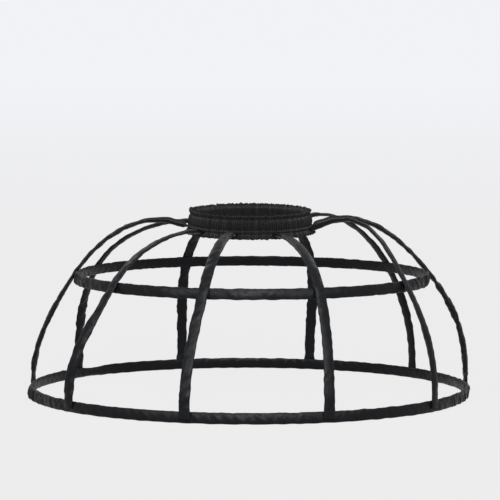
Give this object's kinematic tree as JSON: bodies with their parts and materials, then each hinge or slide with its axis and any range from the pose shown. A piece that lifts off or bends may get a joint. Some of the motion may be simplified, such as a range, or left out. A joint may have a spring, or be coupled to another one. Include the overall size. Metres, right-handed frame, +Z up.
{
  "type": "crinoline cage",
  "caption": "Black satin crinoline cage: gathered elastic waistband, curved boned ribs and boned hoops, open below.",
  "frame": {"origin": "on the floor under the middle of the hoops, with the cage standing on its lower hoop", "axes": "+Z up, the wearer faces -Y, +X to the right of the picture (the wearer's left)"},
  "size_m": [0.8633, 0.859, 0.3718],
  "materials": {
    "satin": "satin",
    "boning": "matte",
    "sleeve_metal": "brushed",
    "elastic": "matte"
  },
  "bodies": {
    "root": {"lower_hoop_casing": "satin", "lower_hoop_bone": "boning", "lower_hoop_sleeve": "sleeve_metal", "upper_hoop_casing": "satin", "upper_hoop_bone": "boning", "upper_hoop_sleeve": "sleeve_metal", "waistband": "satin", "waist_elastic": "elastic", "rib_casing_front_left": "satin", "rib_bone_front_left": "boning", "rib_casing_front_right": "satin", "rib_bone_front_right": "boning", "rib_casing_left_front": "satin", "rib_bone_left_front": "boning", "rib_casing_right_front": "satin", "rib_bone_right_front": "boning", "rib_casing_left_side": "satin", "rib_bone_left_side": "boning", "rib_casing_right_side": "satin", "rib_bone_right_side": "boning", "rib_casing_left_rear": "satin", "rib_bone_left_rear": "boning", "rib_casing_right_rear": "satin", "rib_bone_right_rear": "boning", "rib_casing_back_left": "satin", "rib_bone_back_left": "boning", "rib_casing_back_right": "satin", "rib_bone_back_right": "boning"}
  },
  "joints": []
}
